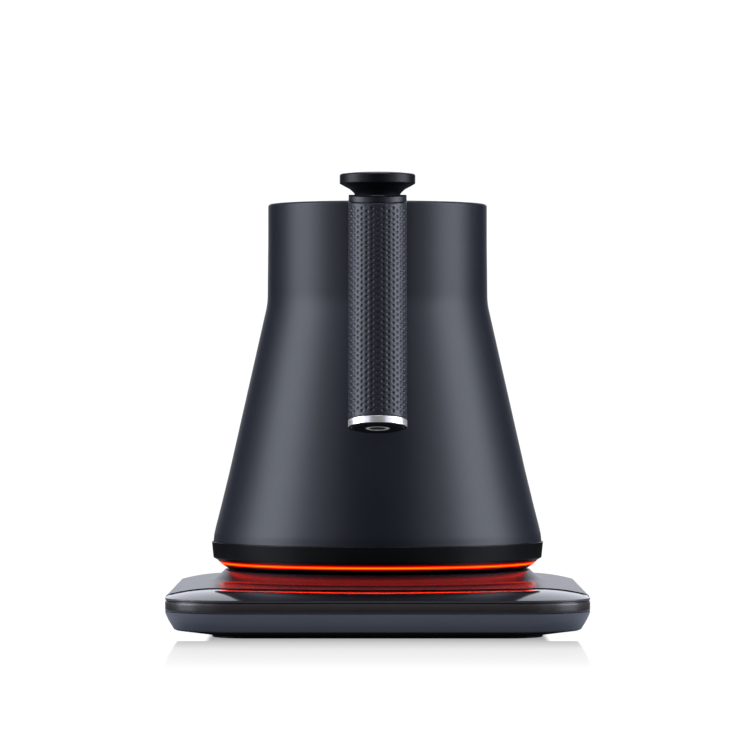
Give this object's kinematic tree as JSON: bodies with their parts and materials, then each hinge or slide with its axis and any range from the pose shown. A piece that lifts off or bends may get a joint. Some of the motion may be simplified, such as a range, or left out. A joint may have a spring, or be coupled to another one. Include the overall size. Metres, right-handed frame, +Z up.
{
  "type": "electric kettle",
  "caption": "Cordless electric kettle with a flaring body, gooseneck spout, tilted dimpled grip, lit ring and flat powered base with a glossy control front.",
  "frame": {"origin": "on the kettle's axis at the resting plane", "axes": "+Z up, -Y towards the handle and the control front, +Y towards the spout and the cord inlet, X across the kettle"},
  "size_m": [0.1706, 0.2507, 0.1902],
  "materials": {
    "painted_body": "matte dark grey powder coat",
    "black_plastic": "matte black",
    "base_matte": "matte dark grey",
    "smoky_gloss": "smoky gloss",
    "fascia_gloss": "black gloss",
    "grip_rubber": "matte dimpled",
    "foot_rubber": "matte",
    "silicone": "translucent silicone",
    "polished_steel": "polished",
    "brushed_steel": "brushed",
    "aluminium_cast": "as cast",
    "contact_metal": "plated",
    "light_diffuser": "lit diffuser",
    "circuit_board": "solder mask",
    "component_black": "moulded",
    "display_glass": "dark display",
    "led_white": "clear dome"
  },
  "bodies": {
    "base": {"rubber_foot_frame": "foot_rubber", "base_bottom_plate": "base_matte", "base_screws": "brushed_steel", "base_lower_shell": "base_matte", "base_trim_band": "smoky_gloss", "base_top_cover": "base_matte", "control_fascia": "fascia_gloss", "display_module": "display_glass", "touch_board": "circuit_board", "control_board": "circuit_board", "power_board": "circuit_board", "power_relay": "component_black", "connector_housing": "black_plastic", "connector_contacts": "contact_metal", "cord_gland": "foot_rubber"},
    "socket": {"appliance_socket": "black_plastic", "socket_contacts": "contact_metal"},
    "kettle": {"kettle_body": "painted_body", "gooseneck_spout": "painted_body", "heater_plate": "brushed_steel", "heater_gasket": "silicone", "heat_spreader": "aluminium_cast", "heating_element": "brushed_steel", "temperature_probe": "brushed_steel", "bottom_ring": "black_plastic", "light_ring": "light_diffuser", "light_board": "circuit_board", "light_emitters": "led_white", "bottom_cover": "black_plastic", "bottom_screws": "brushed_steel", "lid_seat_ring": "brushed_steel", "handle_arm": "painted_body", "handle_backing_plate": "brushed_steel", "handle_screws": "brushed_steel", "handle_core": "aluminium_cast", "handle_grip": "grip_rubber", "handle_end_ring": "polished_steel", "handle_end_cap": "black_plastic", "handle_end_disc": "smoky_gloss"},
    "lid": {"lid_plate": "painted_body", "lid_cup": "brushed_steel", "lid_seal": "silicone", "lid_knob": "black_plastic", "knob_screw": "brushed_steel"}
  },
  "joints": [
    {"name": "kettle_lift", "type": "slide", "parent": "base", "child": "socket", "axis": [0, 0, 1], "range_m": [0, 0.1]},
    {"name": "kettle_swivel", "type": "hinge", "parent": "socket", "child": "kettle", "pos_m": [0, 0, 0.03], "axis": [0, 0, 1], "continuous": true},
    {"name": "lid_lift", "type": "slide", "parent": "kettle", "child": "lid", "axis": [0, 0, 1], "range_m": [0, 0.06]}
  ]
}
